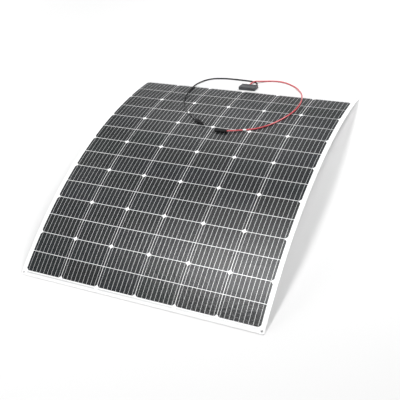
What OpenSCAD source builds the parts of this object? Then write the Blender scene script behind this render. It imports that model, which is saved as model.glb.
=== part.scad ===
// Flexible solar sheet: a thin laminate bent to a shallow arch that stands on its near and far edges.
// X runs across the sheet, Y from the near edge to the far edge, Z up. Millimetres.
// Places along the sheet are arc lengths s, measured on the top face: s = 0 at the far end of the
// first cell row, growing towards the near edge. phi(s) is the matching angle about the bend's axis.

/* [Cells] */
// Side of a full wafer before it is cut in two
cell = 166; // [156:1:182]
// Diameter of the ingot, which rounds the wafer's corners
ingot_d = 223; // [221:1:230]
// Gap between cells
cell_gap = 2; // [1.5:0.1:3]
// Number of cell columns
columns = 6; // [6]
// Busbar ribbons on a cell
ribbons = 9; // [5:1:12]
// Spacing of the ribbons
ribbon_pitch = 18.2; // [12:0.1:18.4]
// Width of a ribbon
ribbon_w = 1.2; // [0.6:0.1:1.6]

/* [Sheet] */
// White margin on the left and right
side_margin = 17; // [15:1:40]
// White margin at the near edge
near_margin = 20; // [19:1:40]
// White margin at the far edge, which carries the junction box
far_margin = 68; // [66:1:90]
// Bend radius of the top face
bend_r = 1636; // [1500:1:2400]
// Corner hole diameter
hole_d = 8; // [4:0.5:9]
// Distance from each edge to a corner hole's centre
hole_inset = 10; // [9:0.5:11]

/* [Layers] */
// Front film thickness
film_t = 0.3; // [0.2:0.05:0.4]
// Front encapsulant thickness
front_t = 0.3; // [0.2:0.1:0.8]
// Ribbon thickness
ribbon_t = 0.3; // [0.2:0.05:0.35]
// Cell thickness
cell_t = 0.2; // [0.15:0.01:0.25]
// Rear encapsulant thickness under the cells
rear_t = 0.5; // [0.4:0.1:0.8]
// Backsheet thickness
back_t = 1.0; // [0.5:0.1:1.5]
// Gap between flexing rows
flex_gap = 0.6; // [0.5:0.1:1]

/* [Junction box] */
// Width of the box
box_w = 80; // [70:1:100]
// Depth of the box
box_d = 48; // [44:1:48]
// Sideways offset of the box from the middle
box_x = 8; // [-10:1:12]
// Places of the left and right cable glands, from the box's middle
gland_left = -8; // [-24:1:-8]
gland_right = 26; // [20:1:30]

/* [Cables] */
// Outer diameter of both cables
cable_d = 6; // [5.5:0.1:6]

/* [Hidden] */
$fn = 64;

pitch = cell + cell_gap;
rows = 7;
s_far = -far_margin;
s_near = rows * pitch + near_margin;
flat_len = s_near - s_far;
flat_w = columns * pitch - cell_gap + cell_gap + 2 * side_margin;
half_w = flat_w / 2;
s_mid = (s_far + s_near) / 2;
half_a = flat_len / 2 / bend_r * 180 / PI;

// radii of the layers, from the top face down
r_top = bend_r;
r_film = r_top - film_t;
r_front = r_film - front_t;
r_ribbon = r_front - ribbon_t;
r_cell = r_ribbon - cell_t;
r_rear = r_cell - rear_t;
r_bottom = r_rear - back_t;
r_mid = (r_top + r_bottom) / 2;
z0 = r_bottom * cos(half_a);

// the recess in the rear encapsulant that holds cells and ribbons: how far it runs past the cell rows
recess_end = 13;
recess_near = near_margin - 4;
recess_x = columns * pitch / 2 + 0.5;
// the bond line left between neighbouring layers
bond = 0.01;

function phi(s) = (s - s_mid) / bend_r * 180 / PI;
function ga(mm) = mm / bend_r * 180 / PI;
// height of the sheet's top face above the floor at depth y
function top_z(y) = sqrt(r_top * r_top - y * y) - z0;

// ---------- helpers ----------
// a slab that follows the bend: s0..s1 along, ra..rb radii, xa..xb across
module slab(s0, s1, ra, rb, xa, xb)
  translate([0, 0, -z0]) rotate([180, -90, 0]) rotate([0, 0, phi(s0)])
    rotate_extrude(angle = ga(s1 - s0), $fn = 720)
      translate([ra, xa]) square([rb - ra, xb - xa]);

// a local frame on the top face: z is the outward normal, y runs towards the far edge
module on_sheet(x, s) translate([0, 0, -z0]) rotate([phi(s), 0, 0]) translate([x, 0, r_top]) children();

// the same, placed by depth y, and turned so that local x is the heading
module on_sheet_y(x, y, heading) translate([x, y, top_z(y)]) rotate([-asin(y / r_top), 0, 0]) rotate([0, 0, heading]) children();

module corner_hole(x, s) on_sheet(x, s) translate([0, 0, -6]) cylinder(r = hole_d / 2, h = 12, $fn = 48);
module far_holes() for (m = [-1, 1]) corner_hole(m * (half_w - hole_inset), s_far + hole_inset);
module near_holes() for (m = [-1, 1]) corner_hole(m * (half_w - hole_inset), s_near - hole_inset);

module rounded(w, d, r) {
  square([w - 2 * r, d], center = true);
  square([w, d - 2 * r], center = true);
  for (i = [-1, 1], j = [-1, 1]) translate([i * (w / 2 - r), j * (d / 2 - r)]) circle(r = r, $fn = 32);
}
module bar(w, d, h, r) linear_extrude(height = h) rounded(w, d, r);

// span of a flexing row, less half the gap at each hinge line
function row_start(k) = (k - 1) * pitch + flex_gap / 2;
function row_end(k) = k == 7 ? s_near : k * pitch - flex_gap / 2;

// where the two lead ribbons rise into the box
lead_x = [-14, 14];
lead_w = 5;
lead_t = 0.4;
lead_y = -14;
module lead_slots() on_box() for (x = lead_x) translate([x - lead_w / 2 - 0.3, lead_y - lead_t / 2 - 0.3, -3]) cube([lead_w + 0.6, lead_t + 0.6, 10]);

// ---------- laminate ----------
module layer(k, ra, rb) {
  if (k == 1) difference() {
    slab(s_far, 3 * pitch - flex_gap / 2, ra, rb, -half_w, half_w);
    far_holes();
  }
  else if (k == 7) difference() {
    slab(row_start(7), s_near, ra, rb, -half_w, half_w);
    near_holes();
  }
  else slab(row_start(k), row_end(k), ra, rb, -half_w, half_w);
}
module front_film(k) color("whitesmoke", 0.35) difference() {
  layer(k, r_film + bond, r_top);
  if (k == 1) lead_slots();
}
module front_encapsulant(k) color("white", 0.3) difference() {
  layer(k, r_front + bond, r_film);
  if (k == 1) lead_slots();
}
module backsheet(k) color("white") {
  if (k == 1) slab(-recess_end, 3 * pitch - flex_gap / 2, r_bottom, r_rear, -half_w, half_w);
  else layer(k, r_bottom, r_rear);
}
module backsheet_far_margin() color("white") difference() {
  slab(s_far, -recess_end, r_bottom, r_rear, -half_w, half_w);
  far_holes();
}
// The rear encapsulant is full thickness in the margins and recessed under the cells; its stretches
// follow each other end to end. A recessed stretch is one turned U-shaped section.
module recessed(s0, s1)
  translate([0, 0, -z0]) rotate([180, -90, 0]) rotate([0, 0, phi(s0)])
    rotate_extrude(angle = ga(s1 - s0), $fn = 720)
      polygon([[r_rear + bond, -half_w], [r_front, -half_w], [r_front, -recess_x], [r_cell, -recess_x],
               [r_cell, recess_x], [r_front, recess_x], [r_front, half_w], [r_rear + bond, half_w]]);
module rear_encapsulant(k) color("ivory") {
  if (k == 1) {
    difference() {
      union() {
        recessed(-recess_end, 3 * pitch - flex_gap / 2);
        slab(s_far, -recess_end, r_rear + bond, r_front, -half_w, half_w);
      }
      far_holes();
      // channels for the two lead ribbons that run out to the box
      for (x = lead_x) slab(lead_s - 1, -recess_end + 1, r_cell, r_front + 1, box_x + x - lead_w / 2 - 0.3, box_x + x + lead_w / 2 + 0.3);
    }
  }
  else if (k == 7) {
    difference() {
      union() {
        recessed(row_start(7), rows * pitch + recess_near);
        slab(rows * pitch + recess_near, s_near, r_rear + bond, r_front, -half_w, half_w);
      }
      near_holes();
    }
  }
  else recessed(row_start(k), row_end(k));
}

// one full wafer, cut in two, as a prism through the cell layer
module wafer(x, k) on_sheet(x, (k - 0.5) * pitch) translate([0, 0, -4]) for (m = [-1, 1])
  linear_extrude(height = 6) intersection() {
    circle(d = ingot_d, $fn = 96);
    translate([-cell / 2, m > 0 ? cell_gap / 2 : -cell / 2]) square([cell, cell / 2 - cell_gap / 2]);
  }
module cell_row(k) intersection() {
  slab((k - 1) * pitch + 0.5, k * pitch - 0.5, r_cell + bond, r_ribbon, -recess_x + 0.5, recess_x - 0.5);
  for (c = [0 : columns - 1]) wafer((c - (columns - 1) / 2) * pitch, k);
}
module cells(k) color([0.09, 0.1, 0.12]) {
  if (k == 1) for (j = [1 : 3]) cell_row(j);
  else cell_row(k);
}
module ribbon_rows(k) color("silver") {
  a = k == 1 ? -9 : row_start(k);
  b = k == 7 ? rows * pitch + 9 : (k == 1 ? 3 * pitch - flex_gap / 2 : row_end(k));
  for (c = [0 : columns - 1], i = [0 : ribbons - 1]) {
    x = (c - (columns - 1) / 2) * pitch + (i - (ribbons - 1) / 2) * ribbon_pitch;
    slab(a, b, r_ribbon + bond, r_front, x - ribbon_w / 2, x + ribbon_w / 2);
  }
}
// flat ribbons that join the columns in pairs
module far_bus_ribbons() color("silver") {
  for (m = [-1, 1]) {
    slab(-9, -4, r_cell + bond, r_ribbon, m > 0 ? pitch + 6 : -3 * pitch + 10, m > 0 ? 3 * pitch - 10 : -pitch - 6);
    slab(-9, -4, r_cell + bond, r_ribbon, m > 0 ? 6 : -pitch + 6, m > 0 ? pitch - 6 : -6);
  }
}
module near_bus_ribbons() color("silver") for (i = [-1 : 1])
  slab(rows * pitch + 4, rows * pitch + 9, r_cell + bond, r_ribbon, (2 * i - 1) * pitch + 8, (2 * i + 1) * pitch - 8);

// ---------- junction box, in its own frame on the far margin ----------
box_s = -42;
pad_t = 1;
base_top = 12.2;
seal_t = 0.5;
box_h = 14.5;
wall = 2.2;
floor_t = 1.6;
gland_z = 7.4;
gland_l = 7;
lead_s = box_s - lead_y;
in_w = box_w - 2 * wall;
in_d = box_d - 2 * wall;
potting_top = 9;

function gland_x(m) = m < 0 ? gland_left : gland_right;
module on_box() on_sheet(box_x, box_s) children();

module box_adhesive() color("gray") difference() {
  slab(box_s - box_d / 2 + 2, box_s + box_d / 2 - 2, r_top, r_top + pad_t, box_x - box_w / 2 + 2, box_x + box_w / 2 - 2);
  lead_slots();
}
module box_base() color([0.16, 0.17, 0.18]) on_box() difference() {
  translate([0, 0, pad_t]) bar(box_w, box_d, base_top - pad_t, 3);
  translate([0, 0, pad_t + floor_t]) bar(in_w, in_d, base_top, 1.5);
  for (m = [-1, 1]) translate([gland_x(m), box_d / 2 - wall - 1, gland_z]) rotate([-90, 0, 0]) cylinder(r = 4.25, h = wall + 2, $fn = 40);
  for (x = lead_x) translate([x - lead_w / 2 - 0.3, lead_y - lead_t / 2 - 0.3, 0]) cube([lead_w + 0.6, lead_t + 0.6, 5]);
}
module box_seal() color("dimgray") on_box() translate([0, 0, base_top]) difference() {
  bar(box_w - 0.8, box_d - 0.8, seal_t, 2.6);
  translate([0, 0, -1]) bar(in_w, in_d, 3, 1.5);
}
module box_lid() color([0.2, 0.21, 0.22]) on_box() {
  translate([0, 0, base_top + seal_t]) bar(box_w, box_d, 1.1, 3);
  translate([0, 0, base_top + seal_t + 1.1]) bar(box_w - 1.6, box_d - 1.6, box_h - base_top - seal_t - 1.1, 2.4);
  difference() {
    translate([0, 0, potting_top + 0.6]) bar(in_w - 0.6, in_d - 0.6, base_top + seal_t - potting_top - 0.6, 1.2);
    translate([0, 0, potting_top]) bar(in_w - 3.4, in_d - 3.4, base_top + seal_t - potting_top, 1);
    // room for the inner ends of the glands
    for (m = [-1, 1]) translate([gland_x(m) - 5, in_d / 2 - 4, potting_top]) cube([10, 6, base_top + seal_t - potting_top]);
  }
}
module clip_shapes() for (i = [-1 : 1]) translate([i * 24 - 9, -16, 3.6]) {
  cube([18, 26, 0.8]);
  translate([3, 4, 0.8]) cube([12, 5, 3]);
}
module diode_shapes() for (i = [-0.5, 0.5]) translate([i * 24, 3, 6.4]) rotate([0, 90, 0]) {
  translate([0, 0, -4.5]) cylinder(r = 2, h = 9, $fn = 32);
  translate([0, 0, -7]) cylinder(r = 0.6, h = 14, $fn = 20);
}
module gland_tails() for (m = [-1, 1]) translate([gland_x(m), box_d / 2 - wall - 2, gland_z]) rotate([-90, 0, 0]) cylinder(r = 4.9, h = 6, $fn = 40);
module terminal_clips() color([0.72, 0.45, 0.2]) on_box() clip_shapes();
module bypass_diodes() color([0.1, 0.1, 0.1]) on_box() diode_shapes();
module box_potting() color([0.75, 0.76, 0.74]) on_box() difference() {
  translate([0, 0, pad_t + floor_t]) bar(in_w - 0.1, in_d - 0.1, potting_top - pad_t - floor_t, 1.4);
  clip_shapes();
  diode_shapes();
  gland_tails();
  for (x = lead_x) translate([x - lead_w / 2 - 0.2, lead_y - lead_t / 2 - 0.2, 0]) cube([lead_w + 0.4, lead_t + 0.4, 3.6]);
}
module box_lead_ribbons() color("silver") {
  for (x = lead_x) {
    slab(lead_s - lead_t / 2, -9.2, r_cell + 0.02, r_ribbon, box_x + x - lead_w / 2, box_x + x + lead_w / 2);
    on_box() translate([x - lead_w / 2, lead_y - lead_t / 2, -1.1]) cube([lead_w, lead_t, 4.7]);
  }
}
module gland(m) color([0.12, 0.12, 0.13]) on_box() translate([gland_x(m), box_d / 2, gland_z]) rotate([-90, 0, 0]) {
  translate([0, 0, -wall]) cylinder(r = 4.2, h = wall, $fn = 40);
  translate([0, 0, -wall - 1.5]) cylinder(r = 4.8, h = 1.5, $fn = 40);
  cylinder(r = 4.9, h = 1.5, $fn = 40);
  translate([0, 0, 1.5]) cylinder(r1 = 4.5, r2 = 3.6, h = gland_l - 1.5, $fn = 40);
}

// ---------- cables ----------
// Each route is a list of [x, y, height of the centre line above what lies under it]. Over the sheet the
// height is taken from the top face, and beyond the far edge from the floor.
function gland_end(m) = box_point(gland_x(m), box_d / 2 + gland_l, gland_z);
function box_point(x, y, z) = let (a = phi(box_s)) [box_x + x, y * cos(a) - (r_top + z) * sin(a), y * sin(a) + (r_top + z) * cos(a) - z0];

// Connector places: [x, y, heading], at the rear face of the cap nut, and the axis' height over the sheet
black_conn = [-93, 254, -27];
red_conn = [77, 203, 183];
conn_h = 8;
conn_in = 9;
function conn_point(c, d) = let (a = asin(c[1] / r_top), u = d * cos(c[2]), v = d * sin(c[2]))
  [c[0] + u, c[1] + v * cos(a) + conn_h * sin(a), top_z(c[1]) - v * sin(a) + conn_h * cos(a)];

black_route = [
  [33.4, 633, 5], [31.2, 640.8, 3.8], [26.2, 647.8, 3.2], [18.8, 652.6, 3], [9.4, 655.4, 3], [-10, 657, 3], [-32, 658, 3], [-58, 659, 3], [-86, 659.5, 3], [-114, 659.5, 3],
  [-142, 658, 3], [-170, 655, 3], [-195, 650, 3], [-216, 642, 3.2], [-233, 630, 4.6], [-245, 613, 4.2], [-252, 592, 3.1], [-254, 564, 3.1], [-251, 532, 3.1],
  [-248, 500, 3.1], [-242, 466, 3.1], [-234, 432, 3.1], [-222, 398, 3.1], [-206, 366, 3.1], [-187, 339, 3.1], [-167, 317, 3.4], [-144, 299, 4.3], [-119, 280, 6]];
red_route = [
  [1, 632, 6.2], [4, 639.5, 6.4], [9.5, 646, 7.5], [16.5, 650.5, 9], [25, 653, 9.6], [36, 655.5, 8.4], [50, 660.5, 5.6], [66, 665.5, 3.7], [84, 669.5, 3], [104, 672, 3],
  [126, 672.5, 3], [148, 670.5, 3], [172, 665, 3], [194, 656, 3], [214, 646, 3.2], [231, 634, 4.2], [246, 618, 5.9], [260, 600, 3.2], [273, 576, 3.1], [283, 550, 3.1], [292, 520, 3.1],
  [298, 488, 3.1], [300, 456, 3.1], [298, 424, 3.1], [292, 393, 3.1], [281, 362, 3.1], [266, 331, 3.1], [247, 301, 3.1], [222, 273, 3.1], [194, 251, 3.1], [164, 237, 3.4],
  [134, 225, 4.4], [103, 213, 6]];

edge_y = r_top * sin(half_a);
function ground(y) = y > edge_y ? 0 : top_z(y);
function lift(p) = let (a = p[1] > edge_y ? 0 : asin(p[1] / r_top)) [p[0], p[1], ground(p[1]) + p[2] / cos(a)];
function route(r, m, c) = concat([gland_end(m)], [for (p = r) lift(p)], [conn_point(c, 0), conn_point(c, conn_in)]);

function unit(v) = v / norm(v);
function tangent(p, i) = i == 0 ? unit(p[1] - p[0]) : i == len(p) - 1 ? unit(p[i] - p[i - 1]) : unit(unit(p[i + 1] - p[i]) + unit(p[i] - p[i - 1]));
// a ring of n points about p, with its first direction kept level
function ring(p, t, r, n) = let (u = unit(cross([0, 0, 1], t)), v = cross(t, u)) [for (j = [0 : n - 1]) p + r * (cos(360 * j / n) * u + sin(360 * j / n) * v)];
module sweep(p, r, n) {
  q = [for (i = [0 : len(p) - 1]) each ring(p[i], i == 0 ? first_dir : tangent(p, i), r, n)];
  m = len(p);
  polyhedron(points = q, faces = concat(
    [[for (j = [0 : n - 1]) j]],
    [for (i = [0 : m - 2], j = [0 : n - 1]) each [[i * n + j, (i + 1) * n + j, i * n + (j + 1) % n], [i * n + (j + 1) % n, (i + 1) * n + j, (i + 1) * n + (j + 1) % n]]],
    [[for (j = [n - 1 : -1 : 0]) (m - 1) * n + j]]), convexity = 10);
}
first_dir = [0, cos(phi(box_s)), sin(phi(box_s))];
black_path = route(black_route, 1, black_conn);
red_path = route(red_route, -1, red_conn);
module black_cable() color([0.06, 0.06, 0.06]) sweep(black_path, cable_d / 2, 10);
module red_cable() color([0.75, 0.05, 0.07]) sweep(red_path, cable_d / 2, 10);

// a short sleeve round the cable, square to the run between two route points
module sleeve(p, i, f, len, ro) {
  a = p[i]; b = p[i + 1]; t = unit(b - a); c = a + f * (b - a);
  translate(c) rotate([0, acos(t[2]), atan2(t[1], t[0])]) translate([0, 0, -len / 2]) difference() {
    cylinder(r = ro, h = len, $fn = 32);
    translate([0, 0, -1]) cylinder(r = cable_d / 2 + 0.02, h = len + 2, $fn = 32);
  }
}
module black_cable_marker() color("white") sleeve(black_path, 26, 0.7, 14, cable_d / 2 + 0.5);
module red_cable_marker() color([0.9, 0.85, 0.85]) sleeve(red_path, 31, 0.6, 14, cable_d / 2 + 0.5);

// ---------- connectors, along local x from the rear face of the nut ----------
module at_conn(c) translate(conn_point(c, 0)) rotate([-asin(c[1] / r_top), 0, 0]) rotate([0, 0, c[2]]) rotate([0, 90, 0]) children();
module turned(pts) rotate_extrude($fn = 48) polygon(pts);

module nut() difference() {
  turned([[3.3, 0], [5.6, 0], [6.8, 2.5], [7.4, 5], [7.4, 18], [5.65, 18], [5.65, 8], [3.3, 8]]);
  for (i = [0 : 11]) rotate([0, 0, i * 30]) translate([7.7, 0, 5.5]) cylinder(r = 0.9, h = 11, $fn = 16);
}
module conn_seal() turned([[3.05, 8.1], [5.5, 8.1], [5.5, 13], [3.05, 13]]);
module black_connector_nut() color([0.1, 0.1, 0.1]) at_conn(black_conn) nut();
module red_connector_nut() color([0.1, 0.1, 0.1]) at_conn(red_conn) nut();
module black_connector_seal() color("gray") at_conn(black_conn) conn_seal();
module red_connector_seal() color("gray") at_conn(red_conn) conn_seal();
// socket half: slim nose with a bore for the pin, and a collar with two catches
module black_connector_body() color([0.13, 0.13, 0.14]) at_conn(black_conn) difference() {
  union() {
    turned([[3.1, 13.2], [5.5, 13.2], [5.5, 18.1], [7.9, 18.1], [7.9, 21], [6.6, 22], [6.6, 34], [5.2, 35], [5.2, 54], [4.8, 55], [3.1, 55]]);
    for (m = [0, 180]) rotate([0, 0, m]) translate([5.6, -3, 30]) cube([1.9, 6, 3.5]);
  }
  for (m = [0, 180]) rotate([0, 0, m]) translate([6.2, -2, 23.5]) cube([2, 4, 5]);
}
module black_connector_socket() color("silver") at_conn(black_conn) turned([[0, 14], [3, 14], [3, 54], [2.05, 54], [2.05, 34], [0, 34]]);
// pin half: a shroud with two spring catches
module red_connector_body() color([0.13, 0.13, 0.14]) at_conn(red_conn) difference() {
  turned([[2.1, 13.2], [5.5, 13.2], [5.5, 18.1], [7.9, 18.1], [7.9, 21], [7.4, 22], [7.4, 48], [6.9, 55], [5.4, 55], [5.4, 36], [2.1, 36]]);
  for (m = [0, 180]) rotate([0, 0, m]) translate([4, -2.2, 40]) cube([5, 4.4, 10]);
}
module red_connector_pin() color("silver") at_conn(red_conn) turned([[0, 14], [1.8, 14], [1.8, 36.5], [2, 36.5], [2, 50], [1.2, 52], [0, 52]]);

// ---------- assembly ----------
front_film(1);  // front_film_rows_1_3
front_film(4);  // front_film_row_4
front_film(5);  // front_film_row_5
front_film(6);  // front_film_row_6
front_film(7);  // front_film_row_7
front_encapsulant(1);  // front_encapsulant_rows_1_3
front_encapsulant(4);  // front_encapsulant_row_4
front_encapsulant(5);  // front_encapsulant_row_5
front_encapsulant(6);  // front_encapsulant_row_6
front_encapsulant(7);  // front_encapsulant_row_7
cells(1);  // cells_rows_1_3
cells(4);  // cells_row_4
cells(5);  // cells_row_5
cells(6);  // cells_row_6
cells(7);  // cells_row_7
ribbon_rows(1);  // ribbons_rows_1_3
ribbon_rows(4);  // ribbons_row_4
ribbon_rows(5);  // ribbons_row_5
ribbon_rows(6);  // ribbons_row_6
ribbon_rows(7);  // ribbons_row_7
rear_encapsulant(1);  // rear_encapsulant_rows_1_3
rear_encapsulant(4);  // rear_encapsulant_row_4
rear_encapsulant(5);  // rear_encapsulant_row_5
rear_encapsulant(6);  // rear_encapsulant_row_6
rear_encapsulant(7);  // rear_encapsulant_row_7
backsheet_far_margin();
backsheet(1);  // backsheet_rows_1_3
backsheet(4);  // backsheet_row_4
backsheet(5);  // backsheet_row_5
backsheet(6);  // backsheet_row_6
backsheet(7);  // backsheet_row_7
far_bus_ribbons();
near_bus_ribbons();
box_lead_ribbons();
box_adhesive();
box_base();
box_lid();
box_seal();
box_potting();
terminal_clips();
bypass_diodes();
gland(-1);  // left_gland
gland(1);  // right_gland
black_cable();
black_cable_marker();
black_connector_body();
black_connector_nut();
black_connector_seal();
black_connector_socket();
red_cable();
red_cable_marker();
red_connector_body();
red_connector_nut();
red_connector_seal();
red_connector_pin();
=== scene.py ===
import math

import bmesh
import bpy
from mathutils import Matrix, Vector


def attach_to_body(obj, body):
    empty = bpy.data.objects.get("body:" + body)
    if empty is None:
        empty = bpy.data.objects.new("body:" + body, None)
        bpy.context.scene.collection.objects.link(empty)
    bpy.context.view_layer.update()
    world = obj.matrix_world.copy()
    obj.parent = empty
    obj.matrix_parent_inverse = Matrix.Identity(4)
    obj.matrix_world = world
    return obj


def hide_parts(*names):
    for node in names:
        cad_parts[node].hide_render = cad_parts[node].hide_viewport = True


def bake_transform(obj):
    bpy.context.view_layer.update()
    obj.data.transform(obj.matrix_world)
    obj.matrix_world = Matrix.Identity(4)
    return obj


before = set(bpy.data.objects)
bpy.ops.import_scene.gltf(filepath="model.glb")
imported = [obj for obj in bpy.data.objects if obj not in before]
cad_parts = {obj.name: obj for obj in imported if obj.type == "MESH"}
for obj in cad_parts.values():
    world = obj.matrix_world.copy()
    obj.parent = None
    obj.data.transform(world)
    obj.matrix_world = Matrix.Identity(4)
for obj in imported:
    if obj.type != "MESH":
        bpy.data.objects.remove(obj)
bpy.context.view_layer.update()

SCENE = bpy.context.scene
SCENE.view_settings.view_transform = "Standard"

# ---------------------------------------------------------------------------
# Sizes, in millimetres, as in part.scad
# ---------------------------------------------------------------------------
R_TOP = 1636.0
THICK = 2.6
S_FAR, S_NEAR = -68.0, 1196.0
S_MID = (S_FAR + S_NEAR) / 2
HALF_A = (S_NEAR - S_FAR) / 2 / R_TOP
Z0 = (R_TOP - THICK) * math.cos(HALF_A)
HALF_W = 521.0
PITCH = 168.0
CELL = 166.0
INGOT_R = 111.5
ROWS, COLS = 7, 6
EDGE_Y = R_TOP * math.sin(HALF_A)
BOX_X, BOX_S = 8.0, -42.0
BLACK_CONN = (-93.0, 254.0, -27.0)
RED_CONN = (77.0, 203.0, 183.0)
CONN_H = 8.0

# depths of the visible layers below the top face
T_WHITE, T_CELL, T_RIBBON, T_BUS = 0.16, 0.10, 0.05, 0.08


def phi(s):
    return (s - S_MID) / R_TOP


def bent(x, s, t=0.0):
    """A point of the flat sheet (across, along, depth below the top face) on the bent one, in metres."""
    a, r = phi(s), R_TOP - t
    return Vector((x, -r * math.sin(a), r * math.cos(a) - Z0)) / 1000


def top_z(y):
    return math.sqrt(R_TOP * R_TOP - y * y) - Z0


def M_sheet(x, s):
    """The local frame on the top face, in mm: z is the normal, y runs towards the far edge."""
    return (Matrix.Translation((0, 0, -Z0)) @ Matrix.Rotation(phi(s), 4, "X")
            @ Matrix.Translation((x, 0, R_TOP)))


M_BOX = M_sheet(BOX_X, BOX_S)


def conn_point(c, d):
    a = math.asin(c[1] / R_TOP)
    h = math.radians(c[2])
    u, v = d * math.cos(h), d * math.sin(h)
    return Vector((c[0] + u, c[1] + v * math.cos(a) + CONN_H * math.sin(a),
                   top_z(c[1]) - v * math.sin(a) + CONN_H * math.cos(a)))


def M_conn(c):
    """The connector's own frame, in mm: z runs from the rear of the cap nut to the nose."""
    a = math.asin(c[1] / R_TOP)
    return (Matrix.Translation(conn_point(c, 0)) @ Matrix.Rotation(-a, 4, "X")
            @ Matrix.Rotation(math.radians(c[2]), 4, "Z") @ Matrix.Rotation(math.pi / 2, 4, "Y"))


# ---------------------------------------------------------------------------
# Camera
# ---------------------------------------------------------------------------
cam = bpy.data.objects.new("camera", bpy.data.cameras.new("camera"))
SCENE.collection.objects.link(cam)
right = Vector((0.8957735, 0.38766061, -0.21750652))
down = Vector((0.15673698, -0.7333477, -0.66153962))
ahead = Vector((-0.41596076, 0.55849835, -0.71767419))
turn = Matrix((right, -down, -ahead)).transposed().to_4x4()
cam.matrix_world = Matrix.Translation((1.26741, -1.72449, 2.10081)) @ turn
cam.data.sensor_width = 36.0
cam.data.lens = 64.48
cam.data.clip_start, cam.data.clip_end = 0.05, 60.0
SCENE.camera = cam


# ---------------------------------------------------------------------------
# Node helpers
# ---------------------------------------------------------------------------
class Mat:
    """A node material with one Principled shader."""

    def __init__(self, name):
        self.m = bpy.data.materials.new(name)
        self.m.use_nodes = True
        self.nt = self.m.node_tree
        self.p = self.nt.nodes["Principled BSDF"]
        self.uv = None
        self.ob = None

    def new(self, kind, **props):
        n = self.nt.nodes.new(kind)
        for k, v in props.items():
            setattr(n, k, v)
        return n

    def link(self, a, b):
        self.nt.links.new(a, b)

    def set(self, **values):
        for k, v in values.items():
            key = k.replace("_", " ")
            for name in (key, key.title(), key.capitalize()):
                if name in self.p.inputs:
                    socket = self.p.inputs[name]
                    if isinstance(v, bpy.types.NodeSocket):
                        self.link(v, socket)
                    elif isinstance(v, (tuple, list)) and len(v) == 3 and socket.type == "RGBA":
                        socket.default_value = (*v, 1)
                    else:
                        socket.default_value = v
                    break
            else:
                raise ValueError(k)
        return self

    def coords(self):
        if self.ob is None:
            self.ob = self.new("ShaderNodeTexCoord").outputs["Object"]
        return self.ob

    def uvs(self):
        if self.uv is None:
            self.uv = self.new("ShaderNodeUVMap", uv_map="sheet").outputs["UV"]
        return self.uv

    def math(self, op, a, b=None, c=None, clamp=False):
        n = self.new("ShaderNodeMath", operation=op, use_clamp=clamp)
        for i, v in enumerate((a, b, c)):
            if v is None:
                continue
            if isinstance(v, bpy.types.NodeSocket):
                self.link(v, n.inputs[i])
            else:
                n.inputs[i].default_value = v
        return n.outputs[0]

    def scaled(self, vector, k):
        n = self.new("ShaderNodeVectorMath", operation="MULTIPLY")
        self.link(vector, n.inputs[0])
        n.inputs[1].default_value = k if isinstance(k, (tuple, list)) else (k, k, k)
        return n.outputs[0]

    def noise(self, vector, scale, detail=2.0, rough=0.5):
        n = self.new("ShaderNodeTexNoise")
        self.link(vector, n.inputs["Vector"])
        n.inputs["Scale"].default_value = scale
        n.inputs["Detail"].default_value = detail
        n.inputs["Roughness"].default_value = rough
        return n.outputs["Fac"]

    def voronoi(self, vector, scale, feature="F1", out="Distance", rand=1.0):
        n = self.new("ShaderNodeTexVoronoi", feature=feature)
        self.link(vector, n.inputs["Vector"])
        n.inputs["Scale"].default_value = scale
        n.inputs["Randomness"].default_value = rand
        return n.outputs[out]

    def ramp(self, fac, *stops):
        n = self.new("ShaderNodeValToRGB")
        self.link(fac, n.inputs["Fac"])
        e = n.color_ramp.elements
        while len(e) < len(stops):
            e.new(0.5)
        for el, (pos, col) in zip(e, stops):
            el.position = pos
            el.color = (*col, 1) if isinstance(col, (tuple, list)) else (col, col, col, 1)
        return n.outputs["Color"]

    def range(self, fac, a, b, c, d):
        n = self.new("ShaderNodeMapRange")
        self.link(fac, n.inputs["Value"])
        for key, v in (("From Min", a), ("From Max", b), ("To Min", c), ("To Max", d)):
            n.inputs[key].default_value = v
        return n.outputs["Result"]

    def mix(self, fac, a, b, blend="MIX"):
        n = self.new("ShaderNodeMix", data_type="RGBA", blend_type=blend)
        for i, v in ((0, fac), (6, a), (7, b)):
            if isinstance(v, bpy.types.NodeSocket):
                self.link(v, n.inputs[i])
            elif i == 0:
                n.inputs[i].default_value = v
            else:
                n.inputs[i].default_value = (*v, 1)
        return n.outputs[2]

    def bump(self, height, strength, distance, normal=None):
        n = self.new("ShaderNodeBump")
        self.link(height, n.inputs["Height"])
        n.inputs["Strength"].default_value = strength
        n.inputs["Distance"].default_value = distance
        if normal is not None:
            self.link(normal, n.inputs["Normal"])
        return n.outputs["Normal"]


def film_normal(m, strength=0.35):
    """The embossed front film: fine shallow dimples a couple of millimetres apart, over a faint long wave."""
    v = m.uvs()
    dimples = m.voronoi(v, 520.0, out="Distance", rand=0.85)
    fine = m.noise(v, 1400.0, 1.0)
    wave = m.noise(v, 9.0, 2.0)
    h = m.math("ADD", dimples, m.math("MULTIPLY", fine, 0.5))
    n = m.bump(h, strength, 0.0004)
    return m.bump(wave, 0.12, 0.004, n)


# ---------------------------------------------------------------------------
# Materials
# ---------------------------------------------------------------------------
def white_laminate():
    m = Mat("white_laminate")
    v = m.uvs()
    tone = m.noise(v, 26.0, 4.0, 0.6)
    base = m.ramp(tone, (0.3, (0.845, 0.85, 0.855)), (0.7, (0.885, 0.885, 0.88)))
    rough = m.range(m.noise(v, 240.0, 3.0), 0.3, 0.7, 0.30, 0.42)
    n = film_normal(m, 0.22)
    m.set(Base_Color=base, Roughness=rough, Normal=n, Coat_Weight=0.5, Coat_Roughness=0.16, Coat_Normal=n)
    m.p.inputs["Specular IOR Level"].default_value = 0.4
    return m.m


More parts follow.
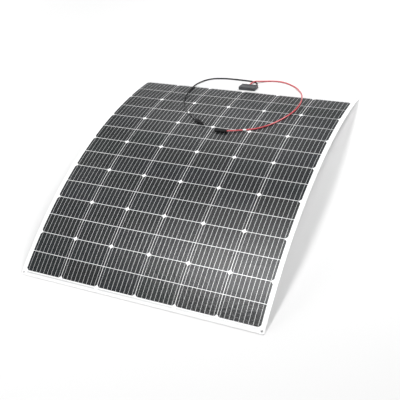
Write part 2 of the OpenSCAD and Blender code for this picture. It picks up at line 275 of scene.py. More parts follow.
def silicon():
    """Textured mono silicon under the film: each cell has its own tone, and fine silver fingers cross it."""
    m = Mat("silicon")
    v = m.uvs()
    sep = m.new("ShaderNodeSeparateXYZ")
    m.link(v, sep.inputs[0])
    col = m.math("FLOOR", m.math("DIVIDE", m.math("ADD", sep.outputs[0], 3 * PITCH / 1000), PITCH / 1000))
    row = m.math("FLOOR", m.math("DIVIDE", sep.outputs[1], PITCH / 2000))
    comb = m.new("ShaderNodeCombineXYZ")
    m.link(col, comb.inputs[0])
    m.link(row, comb.inputs[1])
    comb.inputs[2].default_value = 3.0
    white = m.new("ShaderNodeTexWhiteNoise", noise_dimensions="3D")
    m.link(comb.outputs[0], white.inputs["Vector"])
    tone = m.ramp(white.outputs["Value"], (0.0, (0.0065, 0.0075, 0.0090)), (0.35, (0.0090, 0.0100, 0.0105)),
                  (0.7, (0.0098, 0.0112, 0.0138)), (1.0, (0.0075, 0.0105, 0.0100)))
    pyramids = m.noise(v, 900.0, 2.0, 0.7)
    grains = m.ramp(pyramids, (0.35, 0.75), (0.65, 1.35))
    base = m.mix(1.0, tone, grains, "MULTIPLY")
    # fingers 1.3 mm apart, 0.05 mm wide, across the ribbons
    fr = m.math("FRACT", m.math("DIVIDE", sep.outputs[1], 0.0013))
    line = m.math("LESS_THAN", m.math("ABSOLUTE", m.math("SUBTRACT", fr, 0.5)), 0.024)
    base = m.mix(m.math("MULTIPLY", line, 0.42), base, (0.30, 0.31, 0.32))
    n = film_normal(m, 0.35)
    # coarse embossing that breaks the sheen into fine sparkle
    grain = m.voronoi(v, 135.0, out="Distance", rand=1.0)
    sparkle = m.bump(grain, 0.62, 0.001, n)
    m.set(Base_Color=base, Roughness=m.range(pyramids, 0.3, 0.7, 0.34, 0.5), Normal=sparkle,
          Coat_Weight=0.62, Coat_Roughness=0.16, Coat_Normal=sparkle)
    m.p.inputs["Specular IOR Level"].default_value = 0.15
    m.p.inputs["Coat IOR"].default_value = 1.42
    return m.m


def tinned(name, level=0.62, soft=0.34, metal=0.75):
    m = Mat(name)
    v = m.uvs()
    tone = m.noise(m.scaled(v, (900.0, 60.0, 1.0)), 1.0, 3.0)
    base = m.ramp(tone, (0.3, (level * 0.86, level * 0.87, level * 0.88)), (0.7, (level * 1.1, level * 1.1, level * 1.1)))
    n = film_normal(m, 0.25)
    m.set(Base_Color=base, Metallic=metal, Roughness=soft, Normal=n, Coat_Weight=0.6, Coat_Roughness=0.17, Coat_Normal=n)
    return m.m


def moulded(name, low, high, rough=(0.38, 0.52), grain=1600.0, strength=0.25, coat=0.0, spec=0.5):
    """Moulded plastic or rubber: a faint tone drift, and a fine spark-eroded grain in gloss and bump."""
    m = Mat(name)
    v = m.coords()
    drift = m.noise(v, 60.0, 3.0)
    fine = m.noise(v, grain, 2.0, 0.6)
    base = m.ramp(drift, (0.3, low), (0.7, high))
    n = m.bump(fine, strength, 0.00006)
    m.set(Base_Color=base, Roughness=m.range(fine, 0.3, 0.7, *rough), Normal=n, Coat_Weight=coat, Coat_Roughness=0.2)
    m.p.inputs["Specular IOR Level"].default_value = spec
    return m.m


def jacket(name, low, high, coat=0.35, spec=0.5):
    """Extruded cable jacket: fine drawn grain and slight handling marks."""
    m = Mat(name)
    v = m.coords()
    drift = m.noise(v, 35.0, 3.0)
    fine = m.noise(v, 2400.0, 2.0)
    marks = m.voronoi(v, 130.0)
    base = m.ramp(m.math("ADD", m.math("MULTIPLY", drift, 0.8), m.math("MULTIPLY", marks, 0.2)), (0.3, low), (0.7, high))
    n = m.bump(fine, 0.15, 0.00005)
    m.set(Base_Color=base, Roughness=m.range(drift, 0.3, 0.7, 0.26, 0.38), Normal=n, Coat_Weight=coat, Coat_Roughness=0.12)
    m.p.inputs["Specular IOR Level"].default_value = spec
    return m.m


def metal(name, colour, rough=0.25):
    m = Mat(name)
    v = m.coords()
    fine = m.noise(m.scaled(v, (400.0, 400.0, 3000.0)), 1.0, 3.0)
    m.set(Base_Color=m.ramp(fine, (0.3, tuple(c * 0.85 for c in colour)), (0.7, colour)), Metallic=1.0,
          Roughness=m.range(fine, 0.3, 0.7, rough * 0.8, rough * 1.3), Normal=m.bump(fine, 0.1, 0.00003))
    return m.m


WHITE = white_laminate()
SILICON = silicon()
RIBBON = tinned("tinned_ribbon", 0.7, 0.42, 0.52)
BUS = tinned("tinned_bus", 0.72, 0.4, 0.5)
BOX = moulded("box_plastic", (0.030, 0.033, 0.037), (0.042, 0.046, 0.051), coat=0.15)
BOX_INNER = moulded("box_inner", (0.03, 0.03, 0.03), (0.045, 0.045, 0.045))
SEAL = moulded("seal_rubber", (0.10, 0.10, 0.10), (0.15, 0.15, 0.15), (0.55, 0.7))
FOAM = moulded("adhesive_foam", (0.25, 0.25, 0.25), (0.33, 0.33, 0.33), (0.7, 0.85), 900.0, 0.5)
POTTING = moulded("potting_gel", (0.52, 0.53, 0.5), (0.62, 0.63, 0.6), (0.25, 0.4), 300.0, 0.1, 0.3)
DIODE = moulded("diode_case", (0.02, 0.02, 0.02), (0.035, 0.035, 0.035))
GLAND = moulded("gland_rubber", (0.022, 0.022, 0.024), (0.034, 0.034, 0.036), (0.45, 0.6))
PLUG = moulded("plug_plastic", (0.007, 0.007, 0.008), (0.013, 0.013, 0.014), (0.4, 0.55), coat=0.03, spec=0.22)
NUT = moulded("cap_nut_plastic", (0.008, 0.008, 0.009), (0.015, 0.015, 0.016), (0.4, 0.55), coat=0.03, spec=0.22)
SLEEVE = moulded("sleeve_white", (0.80, 0.80, 0.80), (0.88, 0.88, 0.88), (0.35, 0.5), 900.0, 0.15)
BLACK = jacket("black_jacket", (0.008, 0.008, 0.009), (0.016, 0.016, 0.017), 0.04, 0.25)
RED = jacket("red_jacket", (0.50, 0.048, 0.062), (0.62, 0.075, 0.092), 1.0)
BRASS = metal("clip_brass", (0.75, 0.52, 0.26), 0.3)
CONTACT = metal("contact_tin", (0.78, 0.78, 0.76), 0.22)


# ---------------------------------------------------------------------------
# Mesh helpers
# ---------------------------------------------------------------------------
def link(name, mesh, mat):
    o = bpy.data.objects.new(name, mesh)
    SCENE.collection.objects.link(o)
    mesh.materials.clear()
    for m in mat if isinstance(mat, (list, tuple)) else [mat]:
        mesh.materials.append(m)
    return o


def evaluated(o):
    """The object's mesh with its modifiers applied."""
    bpy.context.view_layer.update()
    deps = bpy.context.evaluated_depsgraph_get()
    mesh = bpy.data.meshes.new_from_object(o.evaluated_get(deps))
    old = o.data
    o.modifiers.clear()
    o.data = mesh
    bpy.data.meshes.remove(old)
    return o


def sharp_by_angle(mesh, degrees=28.0):
    for p in mesh.polygons:
        p.use_smooth = True
    bm = bmesh.new()
    bm.from_mesh(mesh)
    limit = math.radians(degrees)
    for e in bm.edges:
        if len(e.link_faces) == 2:
            e.smooth = e.calc_face_angle(0) < limit
    bm.to_mesh(mesh)
    bm.free()


def weighted(o):
    w = o.modifiers.new("normals", "WEIGHTED_NORMAL")
    w.keep_sharp = True
    w.weight = 80
    return evaluated(o)


def bend_mesh(mesh):
    """Lays a flat mesh (x, s, -depth, in mm) on the bent sheet, and keeps x and s as the UV map, in metres."""
    uv = mesh.uv_layers.get("sheet") or mesh.uv_layers.new(name="sheet")
    for l in mesh.loops:
        c = mesh.vertices[l.vertex_index].co
        uv.data[l.index].uv = (c.x / 1000, c.y / 1000)
    for v in mesh.vertices:
        v.co = bent(v.co.x, v.co.y, -v.co.z)
    mesh.flip_normals()
    mesh.update()


def steps(a, b, most):
    n = max(1, math.ceil((b - a) / most - 1e-6))
    return [a + (b - a) * i / n for i in range(n + 1)]


def flat_slab(bm, xs_at, stations, top, bottom):
    """A closed thin slab between stations. xs_at(s) gives the x values of a station, and all have the same count."""
    rows = []
    for s in stations:
        xs = xs_at(s)
        rows.append(([bm.verts.new((x, s, top)) for x in xs], [bm.verts.new((x, s, bottom)) for x in xs]))
    for (ta, ba), (tb, bb) in zip(rows, rows[1:]):
        for i in range(len(ta) - 1):
            bm.faces.new((ta[i], ta[i + 1], tb[i + 1], tb[i]))
            bm.faces.new((ba[i], bb[i], bb[i + 1], ba[i + 1]))
        bm.faces.new((ta[0], tb[0], bb[0], ba[0]))
        bm.faces.new((ta[-1], ba[-1], bb[-1], tb[-1]))
    for (t, b), flip in ((rows[0], False), (rows[-1], True)):
        for i in range(len(t) - 1):
            f = (t[i], b[i], b[i + 1], t[i + 1])
            bm.faces.new(f[::-1] if flip else f)


# ---------------------------------------------------------------------------
# Cords: their routes are the ones in part.scad, [x, y, height of the centre line]
# ---------------------------------------------------------------------------
BLACK_ROUTE = [
    (33.4, 633, 5), (31.2, 640.8, 3.8), (26.2, 647.8, 3.2), (18.8, 652.6, 3), (9.4, 655.4, 3), (-10, 657, 3), (-32, 658, 3),
    (-58, 659, 3), (-86, 659.5, 3), (-114, 659.5, 3), (-142, 658, 3), (-170, 655, 3), (-195, 650, 3), (-216, 642, 3.2),
    (-233, 630, 4.6), (-245, 613, 4.2), (-252, 592, 3.1), (-254, 564, 3.1), (-251, 532, 3.1), (-248, 500, 3.1),
    (-242, 466, 3.1), (-234, 432, 3.1), (-222, 398, 3.1), (-206, 366, 3.1), (-187, 339, 3.1), (-167, 317, 3.4),
    (-144, 299, 4.3), (-119, 280, 6)]
RED_ROUTE = [
    (1, 632, 6.2), (4, 639.5, 6.4), (9.5, 646, 7.5), (16.5, 650.5, 9), (25, 653, 9.6), (36, 655.5, 8.4), (50, 660.5, 5.6),
    (66, 665.5, 3.7), (84, 669.5, 3), (104, 672, 3), (126, 672.5, 3), (148, 670.5, 3), (172, 665, 3), (194, 656, 3),
    (214, 646, 3.2), (231, 634, 4.2), (246, 618, 5.9), (260, 600, 3.2), (273, 576, 3.1), (283, 550, 3.1), (292, 520, 3.1),
    (298, 488, 3.1), (300, 456, 3.1), (298, 424, 3.1), (292, 393, 3.1), (281, 362, 3.1), (266, 331, 3.1), (247, 301, 3.1),
    (222, 273, 3.1), (194, 251, 3.1), (164, 237, 3.4), (134, 225, 4.4), (103, 213, 6)]


def lift(p):
    x, y, h = p
    if y > EDGE_Y:
        return Vector((x, y, h))
    return Vector((x, y, top_z(y) + h / math.cos(math.asin(y / R_TOP))))


def cable_path(route, gland_x, conn):
    return ([M_BOX @ Vector((gland_x, 31.0, 7.4))] + [lift(p) for p in route] + [conn_point(conn, 0), conn_point(conn, 9)])


def smooth_points(pts, per=6):
    """Catmull-Rom points through pts."""
    out = []
    for i in range(len(pts) - 1):
        p0 = pts[max(i - 1, 0)]
        p1, p2 = pts[i], pts[i + 1]
        p3 = pts[min(i + 2, len(pts) - 1)]
        for k in range(per):
            t = k / per
            out.append(0.5 * ((2 * p1) + (p2 - p0) * t + (2 * p0 - 5 * p1 + 4 * p2 - p3) * t * t + (3 * p1 - p0 - 3 * p2 + p3) * t ** 3))
    out.append(pts[-1])
    return out


def tube(name, pts, radius, sides, mat):
    """A round tube along pts (mm), with capped ends and no twist."""
    bm = bmesh.new()
    rings = []
    up = Vector((0, 0, 1))
    for i, p in enumerate(pts):
        t = (pts[min(i + 1, len(pts) - 1)] - pts[max(i - 1, 0)]).normalized()
        u = up.cross(t).normalized()
        v = t.cross(u)
        rings.append([bm.verts.new((p + radius * (math.cos(2 * math.pi * j / sides) * u + math.sin(2 * math.pi * j / sides) * v)) / 1000)
                      for j in range(sides)])
    for a, b in zip(rings, rings[1:]):
        for j in range(sides):
            k = (j + 1) % sides
            bm.faces.new((a[j], a[k], b[k], b[j]))
    bm.faces.new(rings[0][::-1])
    bm.faces.new(rings[-1])
    bm.normal_update()
    bmesh.ops.recalc_face_normals(bm, faces=bm.faces)
    mesh = bpy.data.meshes.new(name)
    bm.to_mesh(mesh)
    bm.free()
    sharp_by_angle(mesh, 40)
    return link(name, mesh, mat)


black_pts = cable_path(BLACK_ROUTE, 26.0, BLACK_CONN)
red_pts = cable_path(RED_ROUTE, -8.0, RED_CONN)
black_line, red_line = smooth_points(black_pts), smooth_points(red_pts)
black_cable = tube("black_cable_jacket", black_line, 3.0, 20, BLACK)
red_cable = tube("red_cable_jacket", red_line, 3.0, 20, RED)
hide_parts("black_cable")
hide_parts("red_cable")
for o, s in ((black_cable, "black_jacket"), (red_cable, "red_jacket")):
    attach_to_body(o, "far_sheet")


# ---------------------------------------------------------------------------
# The sheet, as six strips. The middle four cross a hinge line each, and meet in the gaps between half cells.
# ---------------------------------------------------------------------------
CUTS = [S_FAR, 420.0, 588.0, 756.0, 924.0, 1092.0, S_NEAR]
CAD_ROWS = ["rows_1_3", "row_4", "row_5", "row_6", "row_7"]


def attach(o, i):
    """Strip i rides on one body at the ends of the sheet; a middle strip only has its placement baked into its mesh and
    rides on no body.
    """
    if i == 0:
        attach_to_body(o, "far_sheet")
    elif i == 5:
        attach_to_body(o, "flex_row_7")
    else:
        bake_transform(o)


def sheet_strip(i):
    s0, s1 = CUTS[i], CUTS[i + 1]
    ends = [s for s in (s0, s1) if s in (S_FAR, S_NEAR)]
    xs = [-HALF_W, -HALF_W + 20, -336, -168, 0, 168, 336, HALF_W - 20, HALF_W]
    bm = bmesh.new()
    flat_slab(bm, lambda s: xs, steps(s0, s1, 7.0), -T_WHITE, -THICK)
    bmesh.ops.recalc_face_normals(bm, faces=bm.faces)
    # rounded sheet corners
    corners = [e for e in bm.edges if all(abs(abs(v.co.x) - HALF_W) < 1e-4 and any(abs(v.co.y - s) < 1e-4 for s in ends) for v in e.verts)
               and abs(e.verts[0].co.z - e.verts[1].co.z) > 1]
    if corners:
        bmesh.ops.bevel(bm, geom=corners, offset=6.0, offset_type="OFFSET", segments=8, profile=0.5, affect="EDGES")
    mesh = bpy.data.meshes.new("laminate_strip_%d" % (i + 1))
    bm.to_mesh(mesh)
    bm.free()
    o = link("laminate_strip_%d" % (i + 1), mesh, WHITE)
    # punched corner holes
    if ends:
        s_hole = ends[0] + (10 if ends[0] == S_FAR else -10)
        cm = bpy.data.meshes.new("cutter")
        bm = bmesh.new()
        for side in (-1, 1):
            bmesh.ops.create_cone(bm, cap_ends=True, cap_tris=False, segments=40, radius1=4.0, radius2=4.0, depth=8.0,
                                  matrix=Matrix.Translation((side * (HALF_W - 10), s_hole, -1.3)))
        bm.to_mesh(cm)
        bm.free()
        cutter = link("cutter", cm, WHITE)
        b = o.modifiers.new("holes", "BOOLEAN")
        b.operation, b.object, b.solver = "DIFFERENCE", cutter, "EXACT"
        evaluated(o)
        bpy.data.objects.remove(cutter)
        bpy.data.meshes.remove(cm)
    # the cut edge, slightly rounded
    bm = bmesh.new()
    bm.from_mesh(o.data)
    inner = [s for s in (s0, s1) if s not in ends]

    def outer(e):
        if len(e.link_faces) != 2 or e.calc_face_angle(0) < math.radians(50):
            return False
        if any(all(abs(v.co.y - s) < 1e-3 for v in e.verts) for s in inner):
            return False
        return abs(e.verts[0].co.z - e.verts[1].co.z) < 1e-3
    bmesh.ops.bevel(bm, geom=[e for e in bm.edges if outer(e)], offset=0.35, offset_type="OFFSET", segments=2,
                    profile=0.5, affect="EDGES", clamp_overlap=True)
    bm.to_mesh(o.data)
    bm.free()
    bend_mesh(o.data)
    sharp_by_angle(o.data, 50)
    weighted(o)
    return o


def half_cell_x(d):
    """Half width of a wafer at a distance d from its middle: the ingot's round outline cuts its corners."""
    return min(CELL / 2, math.sqrt(INGOT_R ** 2 - d * d))


CORNER_D = math.sqrt(INGOT_R ** 2 - (CELL / 2) ** 2)
CELL_D = steps(1.0, CORNER_D, 7.5) + [CORNER_D + (CELL / 2 - CORNER_D) * math.sin(math.pi / 2 * k / 6) for k in range(1, 7)]


def cell_strip(i):
    bm = bmesh.new()
    for r in range(ROWS):
        mid = (r + 0.5) * PITCH
        for sign in (-1, 1):
            centre = mid + sign * CELL / 4
            if not CUTS[i] < centre < CUTS[i + 1]:
                continue
            ds = CELL_D if sign > 0 else [-d for d in reversed(CELL_D)]
            for c in range(COLS):
                x0 = (c - (COLS - 1) / 2) * PITCH
                flat_slab(bm, lambda s: [x0 - half_cell_x(s - mid), x0 - 24.6, x0 + 24.6, x0 + half_cell_x(s - mid)],
                          [mid + d for d in ds], -T_CELL, -T_WHITE - 0.03)
    bmesh.ops.recalc_face_normals(bm, faces=bm.faces)
    mesh = bpy.data.meshes.new("half_cells_strip_%d" % (i + 1))
    bm.to_mesh(mesh)
    bm.free()
    bend_mesh(mesh)
    sharp_by_angle(mesh, 40)
    return link(mesh.name, mesh, SILICON)


def ribbon_strip(i):
    s0 = max(CUTS[i], -9.0)
    s1 = min(CUTS[i + 1], ROWS * PITCH + 9.0)
    bm = bmesh.new()
    for c in range(COLS):
        for k in range(9):
            x = (c - (COLS - 1) / 2) * PITCH + (k - 4) * 18.2
            flat_slab(bm, lambda s: [x - 0.6, x - 0.35, x + 0.35, x + 0.6], steps(s0, s1, 12.0), -T_RIBBON, -T_CELL - 0.03)
    # the ribbon's crown: its outer thirds lie a little lower
    for v in bm.verts:
        near = min((abs(v.co.x - ((c - 2.5) * PITCH + (k - 4) * 18.2)) for c in range(COLS) for k in range(9)))
        if near > 0.5 and v.co.z > -T_RIBBON - 1e-6:
            v.co.z -= 0.03
    bmesh.ops.recalc_face_normals(bm, faces=bm.faces)
    mesh = bpy.data.meshes.new("ribbons_strip_%d" % (i + 1))
    bm.to_mesh(mesh)
    bm.free()
    bend_mesh(mesh)
    sharp_by_angle(mesh, 60)
    return link(mesh.name, mesh, RIBBON)


def flat_bars(name, bars, top, bottom, mat):
    """Flat ribbons in the margins: (x0, x1, s0, s1) each."""
    bm = bmesh.new()
    for x0, x1, s0, s1 in bars:
        flat_slab(bm, lambda s: steps(x0, x1, 40.0), steps(s0, s1, 5.0), top, bottom)
    bmesh.ops.recalc_face_normals(bm, faces=bm.faces)
    mesh = bpy.data.meshes.new(name)
    bm.to_mesh(mesh)
    bm.free()
    bend_mesh(mesh)
    sharp_by_angle(mesh, 40)
    return link(name, mesh, mat)


for i in range(6):
    sheet, cells, ribbons = sheet_strip(i), cell_strip(i), ribbon_strip(i)
    for o in (sheet, cells, ribbons):
        attach(o, i)
    if i < 5:
        rows = CAD_ROWS[i]
        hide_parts("front_film_" + rows, "front_encapsulant_" + rows, "rear_encapsulant_" + rows, "backsheet_" + rows)
        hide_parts("cells_" + rows)
        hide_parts("ribbons_" + rows)
    if i == 0:
        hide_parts("backsheet_far_margin")

far_bus = flat_bars("far_bus", [(PITCH + 6, 3 * PITCH - 10, -9, -4), (-3 * PITCH + 10, -PITCH - 6, -9, -4),
                                (6, PITCH - 6, -9, -4), (-PITCH + 6, -6, -9, -4)], -T_BUS, -T_WHITE - 0.03, BUS)
near_bus = flat_bars("near_bus", [((2 * k - 1) * PITCH + 8, (2 * k + 1) * PITCH - 8, ROWS * PITCH + 4, ROWS * PITCH + 9)
                                  for k in (-1, 0, 1)], -T_BUS, -T_WHITE - 0.03, BUS)
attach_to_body(far_bus, "far_sheet")
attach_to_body(near_bus, "flex_row_7")
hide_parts("far_bus_ribbons")
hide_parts("near_bus_ribbons")

# ---------------------------------------------------------------------------
# Junction box, glands, sleeves and connectors, in their own frames in mm
# ---------------------------------------------------------------------------
def to_object(name, bm, M, mat, angle=35.0):
    """The mesh in its own frame, placed by M, in metres."""
    bmesh.ops.recalc_face_normals(bm, faces=bm.faces)
    mesh = bpy.data.meshes.new(name)
    bm.to_mesh(mesh)
    bm.free()
    for v in mesh.vertices:
        v.co = (M @ v.co) / 1000
    sharp_by_angle(mesh, angle)
    return link(name, mesh, mat)


def loft(bm, rings, n=7):
    """A closed body through rounded rectangles (width, depth, corner radius, height), capped at both ends."""
    loops = []
    for w, d, r, z in rings:
        loop = []
        for cx, cy, a0 in ((1, 1, 0), (-1, 1, 90), (-1, -1, 180), (1, -1, 270)):
            for k in range(n + 1):
                a = math.radians(a0 + 90 * k / n)
                loop.append(bm.verts.new((cx * (w / 2 - r) + r * math.cos(a), cy * (d / 2 - r) + r * math.sin(a), z)))
        loops.append(loop)
    for a, b in zip(loops, loops[1:]):
        for k in range(len(a)):
            m = (k + 1) % len(a)
            bm.faces.new((a[k], a[m], b[m], b[k]))
    bm.faces.new(loops[0][::-1])
    bm.faces.new(loops[-1])


def lathe(bm, profile, n=64, grooves=0, depth=0.0, between=(0, 0)):
    """A ring body about z from a closed profile of (radius, height). Flutes are cut between two heights."""
    rings = []
    for k in range(n):
        a = 2 * math.pi * k / n
        flute = depth * max(0.0, math.cos(grooves * a)) ** 3 if grooves else 0.0
        rings.append([bm.verts.new(((r - (flute if between[0] < z < between[1] and r > 6.5 else 0)) * math.cos(a),
                                    (r - (flute if between[0] < z < between[1] and r > 6.5 else 0)) * math.sin(a), z))
                      for r, z in profile])
    m = len(profile)
    for k in range(n):
        a, b = rings[k], rings[(k + 1) % n]
        for q in range(m):
            t = (q + 1) % m
            bm.faces.new((a[q], b[q], b[t], a[t]))


def block(bm, at, size, bevel=0.3, segments=2):
    """A block with rounded edges."""
    made = bmesh.ops.create_cube(bm, size=1.0, matrix=Matrix.Translation(at) @ Matrix.Diagonal((*size, 1)))
    edges = list({e for v in made["verts"] for e in v.link_edges})
    bmesh.ops.bevel(bm, geom=edges, offset=bevel, offset_type="OFFSET", segments=segments, profile=0.6, affect="EDGES")


def finish(o, slot, *nodes, body="far_sheet"):
    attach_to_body(o, body)
    if nodes:
        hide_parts(*nodes)
    return o


# base: an open tray with a drafted wall, a foot, and catch pads for the lid's tongues
bm = bmesh.new()
loft(bm, [(79.2, 47.2, 2.6, 1.0), (80, 48, 3, 1.35), (80, 48, 3, 2.5), (79.5, 47.5, 2.8, 2.9), (79.3, 47.3, 2.7, 11.6), (79.0, 47.0, 2.6, 12.0),
          (78.4, 46.4, 2.3, 12.2), (76.3, 44.3, 1.7, 12.2), (75.7, 43.7, 1.4, 11.9), (75.6, 43.6, 1.4, 2.6)])
for x in (-36, -12, 12, 36):
    block(bm, (x, -23.55, 6.6), (1.2, 0.9, 7.6), 0.3)
for y in (-17, 17):
    for side in (-1, 1):
        block(bm, (side * 39.55, y, 6.6), (0.9, 1.2, 7.6), 0.3)
finish(to_object("box_base_moulding", bm, M_BOX, BOX), "box_plastic", "box_base")

# seal: a cord gasket that shows as a fine dark line under the lid
bm = bmesh.new()
loft(bm, [(74.4, 42.4, 1.2, 12.2), (78.2, 46.2, 2.3, 12.2), (78.6, 46.6, 2.45, 12.32), (78.6, 46.6, 2.45, 12.58), (78.2, 46.2, 2.3, 12.7),
          (74.4, 42.4, 1.2, 12.7)])
seal = to_object("box_gasket", bm, M_BOX, SEAL)
# an open ring: the two caps go, and the inner wall closes it
bm = bmesh.new()
bm.from_mesh(seal.data)
caps = sorted(bm.faces, key=lambda f: -len(f.verts))[:2]
bounds = [list(f.verts) for f in caps]
bmesh.ops.delete(bm, geom=caps, context="FACES_ONLY")
bmesh.ops.bridge_loops(bm, edges=[e for e in bm.edges if len(e.link_faces) == 1])
bmesh.ops.recalc_face_normals(bm, faces=bm.faces)
bm.to_mesh(seal.data)
bm.free()
sharp_by_angle(seal.data, 35)
finish(seal, "seal_rubber", "box_seal")

# lid: a rim, a slightly sunk panel, tongues that snap over the base, and low ribs on the panel
bm = bmesh.new()
loft(bm, [(72.2, 40.2, 0.8, 12.7), (72.2, 40.2, 0.8, 9.9), (72.6, 40.6, 1.0, 9.6), (74.5, 42.5, 1.2, 9.6), (75.0, 43.0, 1.4, 9.9), (75.0, 43.0, 1.4, 12.7),
          (79.3, 47.3, 2.7, 12.7), (80, 48, 3, 13.0), (80, 48, 3, 13.5), (79.6, 47.6, 2.9, 13.85), (78.8, 46.8, 2.6, 14.2), (77.9, 45.9, 2.3, 14.44),
          (77.2, 45.2, 2.2, 14.5), (73.4, 41.4, 1.9, 14.5), (73.0, 41.0, 1.8, 14.42), (72.6, 40.6, 1.7, 14.12), (72.2, 40.2, 1.6, 14.05)])
for x in (-24, 24):
    block(bm, (x, -24.25, 10.4), (9.0, 1.0, 6.6), 0.35)
    block(bm, (x, -24.6, 8.2), (7.4, 0.9, 1.4), 0.3)
for x in (-27, 9):
    block(bm, (x, 24.25, 10.4), (8.0, 1.0, 6.6), 0.35)
for side in (-1, 1):
    block(bm, (side * 40.2, 0, 10.2), (1.1, 15.0, 7.0), 0.35)
    block(bm, (side * 40.6, 0, 7.9), (1.0, 12.0, 1.5), 0.35)
    block(bm, (side * 33.2, 0, 14.15), (2.2, 26.0, 0.5), 0.2)
for side in (-1, 1):
    block(bm, (0, side * 17.4, 14.15), (58.0, 1.2, 0.5), 0.2)
finish(to_object("box_lid_moulding", bm, M_BOX, BOX), "box_plastic", "box_lid", body="box_lid")

# glands: ribbed rubber that tapers on to the cable
GLAND_PROFILE = [(2.7, -1.8), (4.7, -1.8), (4.8, -0.4), (4.2, -0.2), (4.2, 0), (4.75, 0), (4.9, 0.2), (4.9, 1.2), (4.65, 1.5), (4.45, 1.7), (4.1, 1.85),
                 (4.05, 2.35), (4.3, 2.5), (4.25, 3.15), (3.9, 3.3), (3.85, 3.8), (4.08, 3.95), (4.02, 4.6), (3.7, 4.75), (3.65, 5.2), (3.85, 5.35),
                 (3.78, 6.0), (3.6, 6.6), (3.3, 6.95), (3.02, 7.0), (2.7, 7.0)]
for x, node in ((-8, "left_gland"), (26, "right_gland")):
    bm = bmesh.new()
    lathe(bm, GLAND_PROFILE, 40)
    M = M_BOX @ Matrix.Translation((x, 24, 7.4)) @ Matrix.Rotation(-math.pi / 2, 4, "X")
    finish(to_object(node + "_moulding", bm, M, GLAND), "gland_rubber", node)


def along(pts, i, f, back):
    """A frame on the run from point i to the next, with z along it, moved back by half a sleeve."""
    a, b = pts[i], pts[i + 1]
    t = (b - a).normalized()
    return Matrix.Translation(a + (b - a) * f) @ t.to_track_quat("Z", "Y").to_matrix().to_4x4() @ Matrix.Translation((0, 0, -back))


for pts, i, f, node, slot in ((black_pts, 26, 0.7, "black_cable_marker", "marker_white"), (red_pts, 31, 0.6, "red_cable_marker", "marker_pale")):
    bm = bmesh.new()
    lathe(bm, [(2.9, 0.15), (3.2, 0), (3.42, 0.15), (3.5, 0.5), (3.5, 4.2), (3.46, 4.6), (3.5, 5.0), (3.5, 9.0), (3.46, 9.4), (3.5, 9.8), (3.5, 13.5),
               (3.42, 13.85), (3.2, 14), (2.9, 13.85)], 40)
    finish(to_object(node + "_sleeve", bm, along(pts, i, f, 7.0), SLEEVE), slot, node)

NUT_PROFILE = [(3.1, 0.2), (3.3, 0), (5.3, 0), (5.6, 0.25), (6.2, 1.4), (6.8, 2.5), (7.15, 3.7), (7.3, 4.4), (7.4, 5.0), (7.4, 5.6), (7.4, 6.2), (7.4, 7.2),
               (7.4, 9), (7.4, 11), (7.4, 13), (7.4, 15), (7.4, 16.0), (7.4, 16.8), (7.4, 17.5), (7.1, 18), (5.65, 18), (5.65, 8), (3.3, 8), (3.1, 7.8)]
SEAL_PROFILE = [(3.05, 8.1), (5.5, 8.1), (5.5, 13), (3.05, 13)]
SOCKET_BODY = [(3.1, 13.2), (5.5, 13.2), (5.5, 18.1), (7.5, 18.1), (7.9, 18.5), (7.9, 20.6), (7.7, 21.0), (6.9, 21.9), (6.6, 22.3), (6.6, 27.0), (6.45, 27.3),
               (6.45, 28.4), (6.6, 28.7), (6.6, 33.6), (6.2, 34.2), (5.5, 34.8), (5.2, 35.3), (5.2, 42), (5.35, 42.3), (5.35, 43.6), (5.2, 43.9), (5.2, 53.6),
               (5.0, 54.5), (4.6, 55), (3.3, 55), (3.1, 54.7)]
PIN_BODY = [(2.1, 13.2), (5.5, 13.2), (5.5, 18.1), (7.5, 18.1), (7.9, 18.5), (7.9, 20.6), (7.75, 21.1), (7.4, 21.9), (7.4, 26), (7.25, 26.3), (7.25, 27.4),
            (7.4, 27.7), (7.4, 37.6), (7.55, 37.9), (7.55, 39.2), (7.4, 39.5), (7.4, 47.8), (7.2, 50.6), (6.95, 54.3), (6.7, 54.9), (5.9, 55), (5.5, 54.8),
            (5.4, 54.4), (5.4, 36), (2.1, 36)]
for colour, c in (("black", BLACK_CONN), ("red", RED_CONN)):
    M = M_conn(c)
    bm = bmesh.new()
    lathe(bm, NUT_PROFILE, 144, grooves=12, depth=0.62, between=(5.2, 17.0))
    finish(to_object(colour + "_cap_nut", bm, M, NUT, 40), "connector_plastic", colour + "_connector_nut")
    bm = bmesh.new()
    lathe(bm, SEAL_PROFILE, 40)
    finish(to_object(colour + "_gland_seal", bm, M, SEAL), "seal_rubber", colour + "_connector_seal")

bm = bmesh.new()
lathe(bm, SOCKET_BODY, 64)
for turn in (0, math.pi):
    T = Matrix.Rotation(turn, 4, "Z")
    for at, size in (((6.3, 0, 31.8), (1.9, 6.0, 3.4)), ((5.4, 0, 46.5), (1.0, 2.0, 14.0)), ((6.7, 2.9, 25.0), (0.9, 0.9, 5.4)), ((6.7, -2.9, 25.0), (0.9, 0.9, 5.4))):
        made = bmesh.ops.create_cube(bm, size=1.0, matrix=T @ Matrix.Translation(at) @ Matrix.Diagonal((*size, 1)))
        bmesh.ops.bevel(bm, geom=list({e for v in made["verts"] for e in v.link_edges}), offset=0.25, offset_type="OFFSET", segments=2, profile=0.6, affect="EDGES")
finish(to_object("black_plug_body", bm, M_conn(BLACK_CONN), PLUG), "connector_plastic", "black_connector_body")

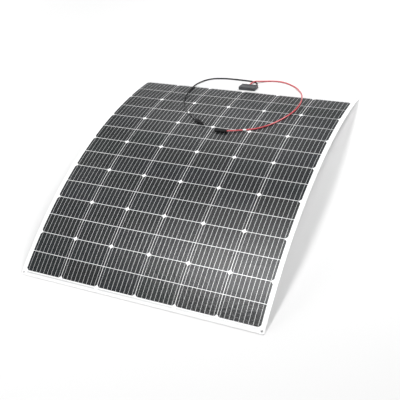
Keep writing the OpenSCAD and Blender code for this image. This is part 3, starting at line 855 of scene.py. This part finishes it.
bm = bmesh.new()
lathe(bm, PIN_BODY, 64)
shroud = to_object("red_plug_body", bm, Matrix(), PLUG)
bm = bmesh.new()
for turn in (0, math.pi):
    bmesh.ops.create_cube(bm, size=1.0, matrix=Matrix.Rotation(turn, 4, "Z") @ Matrix.Translation((6.5, 0, 45)) @ Matrix.Diagonal((5, 4.4, 10, 1)))
cutter = to_object("cutter", bm, Matrix(), PLUG)
b = shroud.modifiers.new("windows", "BOOLEAN")
b.operation, b.object, b.solver = "DIFFERENCE", cutter, "EXACT"
evaluated(shroud)
bpy.data.objects.remove(cutter)
M = M_conn(RED_CONN)
for v in shroud.data.vertices:
    v.co = (M @ (v.co * 1000)) / 1000
sharp_by_angle(shroud.data, 35)
finish(shroud, "connector_plastic", "red_connector_body")

# contacts, turned with a chamfered tip
bm = bmesh.new()
lathe(bm, [(0.02, 14), (3, 14), (3, 53.6), (2.8, 54), (2.3, 54), (2.05, 53.7), (2.05, 34), (0.02, 34)], 40)
finish(to_object("socket_contact", bm, M_conn(BLACK_CONN), CONTACT), "contact_metal", "black_connector_socket")
bm = bmesh.new()
lathe(bm, [(0.02, 14), (1.8, 14), (1.8, 36.5), (2, 36.7), (2, 49.6), (1.85, 50.3), (1.4, 51.6), (1.0, 52), (0.02, 52)], 40)
finish(to_object("pin_contact", bm, M, CONTACT), "contact_metal", "red_connector_pin")

# ---------------------------------------------------------------------------
# CAD nodes that stay: each gets its detailed material
# ---------------------------------------------------------------------------
KEPT = {"box_lead_ribbons": CONTACT, "box_adhesive": FOAM, "box_potting": POTTING, "terminal_clips": BRASS, "bypass_diodes": DIODE}
for name, mat in KEPT.items():
    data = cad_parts[name].data
    data.materials.clear()
    data.materials.append(mat)

# ---------------------------------------------------------------------------
# Floor and light
# ---------------------------------------------------------------------------
bm = bmesh.new()
bmesh.ops.create_grid(bm, x_segments=2, y_segments=2, size=14.0)
mesh = bpy.data.meshes.new("floor")
bm.to_mesh(mesh)
bm.free()
fm = Mat("floor_paper")
fm.set(Base_Color=(0.76, 0.76, 0.76), Roughness=0.9)
fm.p.inputs["Specular IOR Level"].default_value = 0.1
floor = link("floor", mesh, fm.m)
floor.location.z = -0.0003

world = bpy.data.worlds.new("studio")
SCENE.world = world
world.use_nodes = True
world.node_tree.nodes["Background"].inputs["Color"].default_value = (1, 1, 1, 1)
world.node_tree.nodes["Background"].inputs["Strength"].default_value = 0.2


def softbox(name, elevation, azimuth, power, size, size_y=None, far=3.5):
    """A soft light on a dome about the object, aimed at its middle."""
    l = bpy.data.lights.new(name, "AREA")
    l.energy = power
    l.shape = "RECTANGLE" if size_y else "DISK"
    l.size = size
    if size_y:
        l.size_y = size_y
    o = bpy.data.objects.new(name, l)
    SCENE.collection.objects.link(o)
    e, a = math.radians(elevation), math.radians(azimuth)
    o.location = Vector((math.cos(e) * math.cos(a), math.cos(e) * math.sin(a), math.sin(e))) * far
    o.rotation_euler = (-o.location).to_track_quat("-Z", "Y").to_euler()
    o.visible_camera = False
    return o


softbox("right_high", 46, 42, 88, 1.8)
softbox("front_left", 12, 225, 52, 1.8)
softbox("left_strip", 7.5, 160, 35, 1.5, 0.42)
softbox("front", 28, 290, 12, 1.8)
softbox("sheen", 76, 214, 52, 1.15)
softbox("glow", 78, 130, 20, 1.2)
softbox("left", 28, 157, 4, 1.8)
softbox("back", 28, 112, 8, 1.8)
